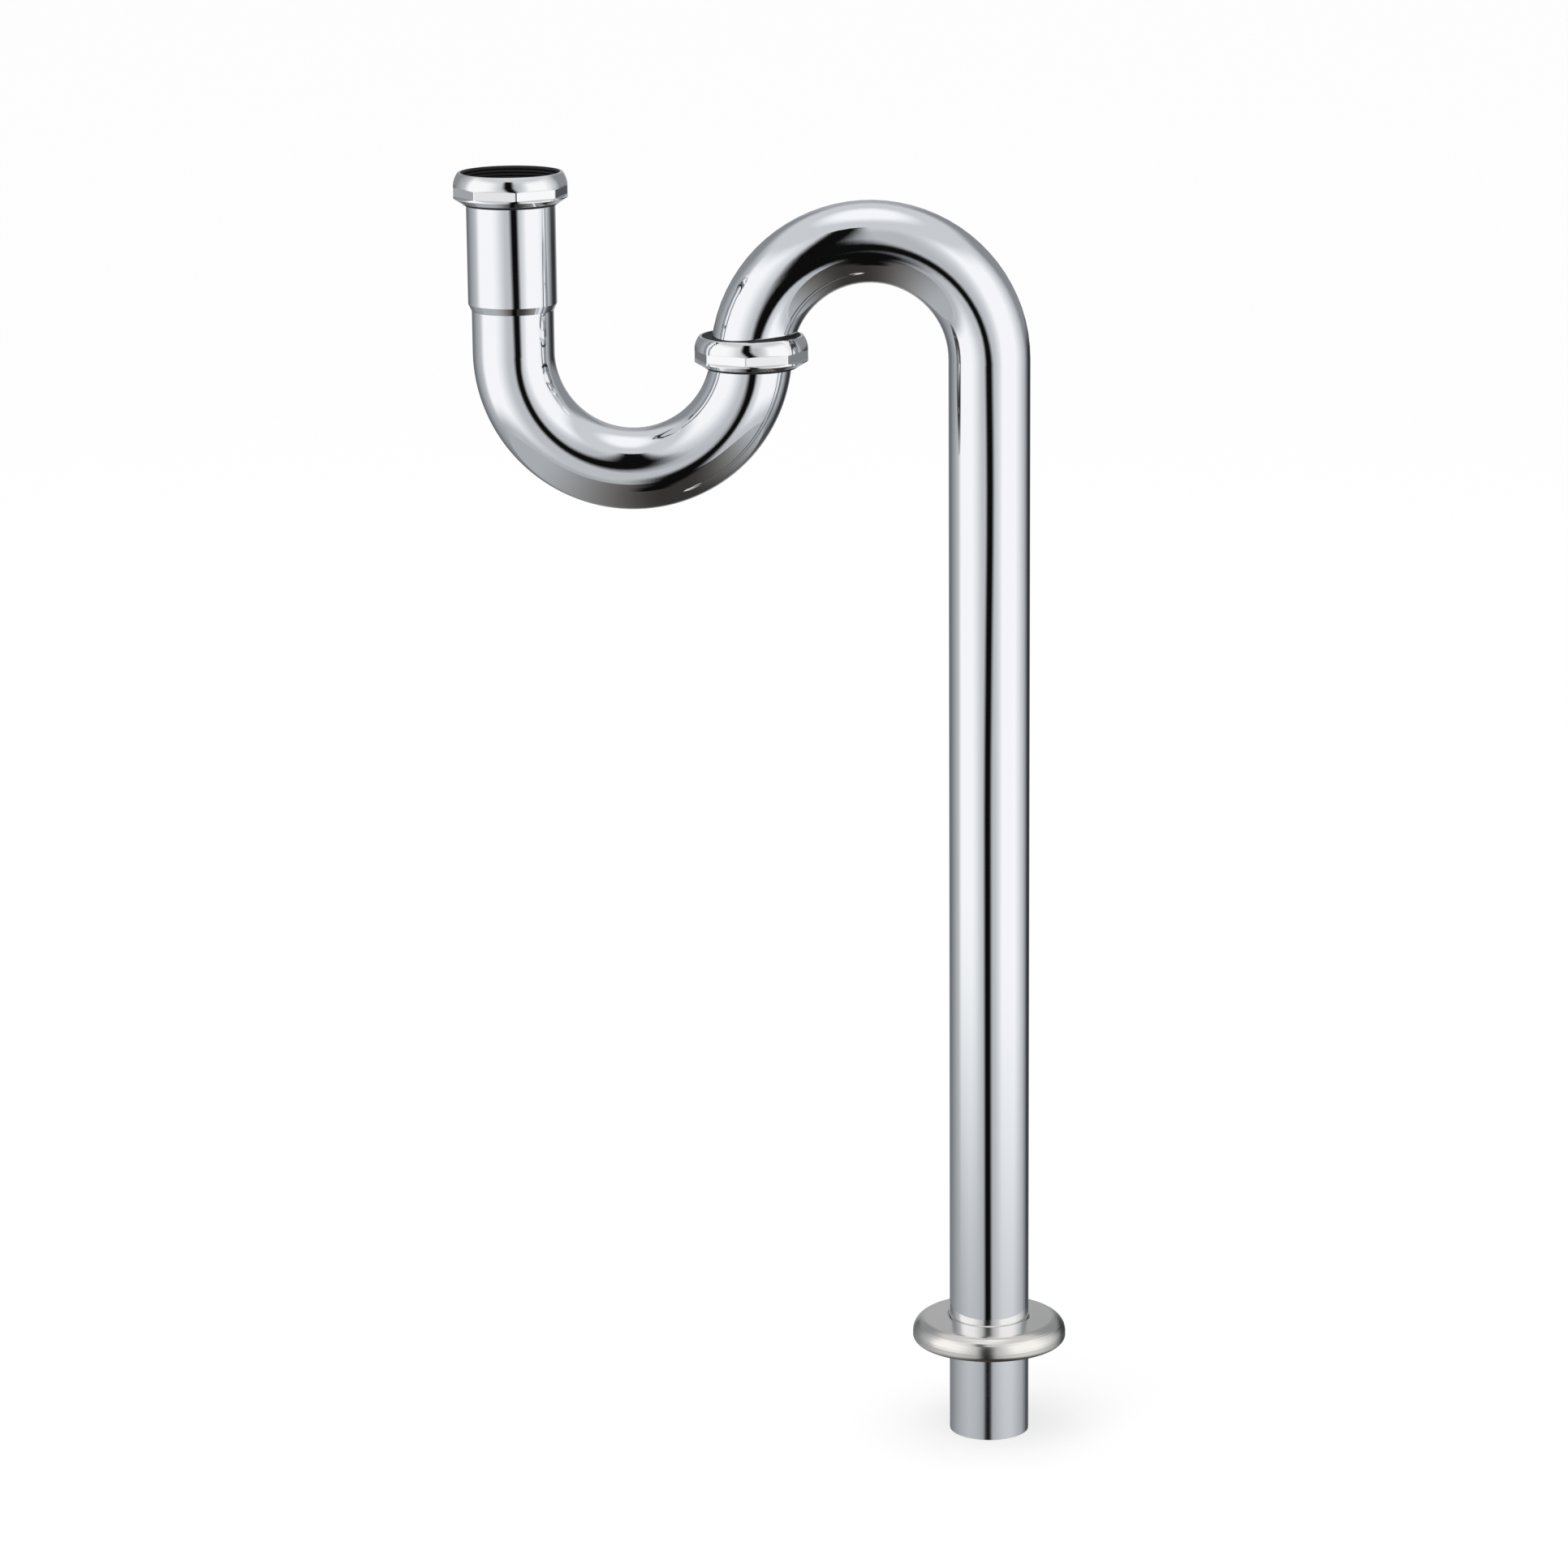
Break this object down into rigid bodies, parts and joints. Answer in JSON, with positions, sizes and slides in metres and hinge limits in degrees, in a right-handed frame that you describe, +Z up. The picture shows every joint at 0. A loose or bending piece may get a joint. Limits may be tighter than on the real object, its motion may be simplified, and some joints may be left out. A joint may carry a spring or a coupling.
{
  "type": "tubular s-trap",
  "caption": "Chromed tubular S-trap for a basin: a swivelling J-bend with slip-nut joints, an S-shaped outlet tube and a floor flange that slides on it.",
  "frame": {"origin": "on the outlet pipe's axis, in the plane of the floor flange's foot, which is the finished floor", "axes": "+Z up along the outlet pipe, -X from the outlet pipe towards the inlet, the bends' plane is Y = 0, and the pictured side faces -Y"},
  "size_m": [0.2373, 0.0616, 0.5117],
  "materials": {
    "tube_chrome": "mirror chrome plate on a drawn brass tube, with a fine draw along it",
    "bend_chrome": "mirror chrome plate on a bent brass tube, buffed round the bend",
    "collar_chrome": "chrome plate on a turned and threaded brass ring",
    "joint_nut_chrome": "mirror chrome plate on a turned brass nut",
    "inlet_nut_chrome": "mirror chrome plate on a turned brass nut",
    "joint_rubber": "matt black flat rubber washer",
    "inlet_rubber": "matt black flat rubber washer",
    "joint_slip_plastic": "white friction ring of hard plastic",
    "inlet_slip_plastic": "white friction ring of hard plastic",
    "flange_steel": "spun and polished sheet steel, slightly warmer than the chrome, with fine spinning rings"
  },
  "bodies": {
    "trap_pipe": {"s_pipe": "tube_chrome", "joint_collar": "collar_chrome"},
    "j_bend": {"j_bend": "bend_chrome", "joint_gasket": "joint_rubber", "inlet_gasket": "inlet_rubber"},
    "joint_ring": {"joint_slip_ring": "joint_slip_plastic"},
    "joint_nut": {"joint_nut": "joint_nut_chrome"},
    "inlet_ring": {"inlet_slip_ring": "inlet_slip_plastic"},
    "inlet_nut": {"inlet_nut": "inlet_nut_chrome"},
    "floor_flange": {"floor_flange": "flange_steel"}
  },
  "joints": [
    {"name": "floor_flange_slide", "type": "slide", "parent": "trap_pipe", "child": "floor_flange", "axis": [0, 0, 1], "range_m": [-0.034, 0.38]},
    {"name": "j_bend_swivel", "type": "hinge", "parent": "trap_pipe", "child": "j_bend", "pos_m": [-0.0922, 0, 0.4], "axis": [0, 0, 1], "range_deg": [-145, 145]},
    {"name": "joint_ring_slide", "type": "slide", "parent": "trap_pipe", "child": "joint_ring", "axis": [0, 0, -1], "range_m": [0, 0.0013]},
    {"name": "joint_nut_turn", "type": "hinge", "parent": "joint_ring", "child": "joint_nut", "pos_m": [-0.0922, 0, 0.4], "axis": [0, 0, -1], "range_deg": [0, 360]},
    {"name": "inlet_ring_slide", "type": "slide", "parent": "j_bend", "child": "inlet_ring", "axis": [0, 0, -1], "range_m": [0, 0.064]},
    {"name": "inlet_nut_spin", "type": "hinge", "parent": "inlet_ring", "child": "inlet_nut", "pos_m": [-0.1844, 0, 0.467], "axis": [0, 0, 1], "continuous": true}
  ],
  "couplings": [
    {"joint": "joint_ring_slide", "follows": "joint_nut_turn", "m_per_rad": 0.00020213}
  ]
}
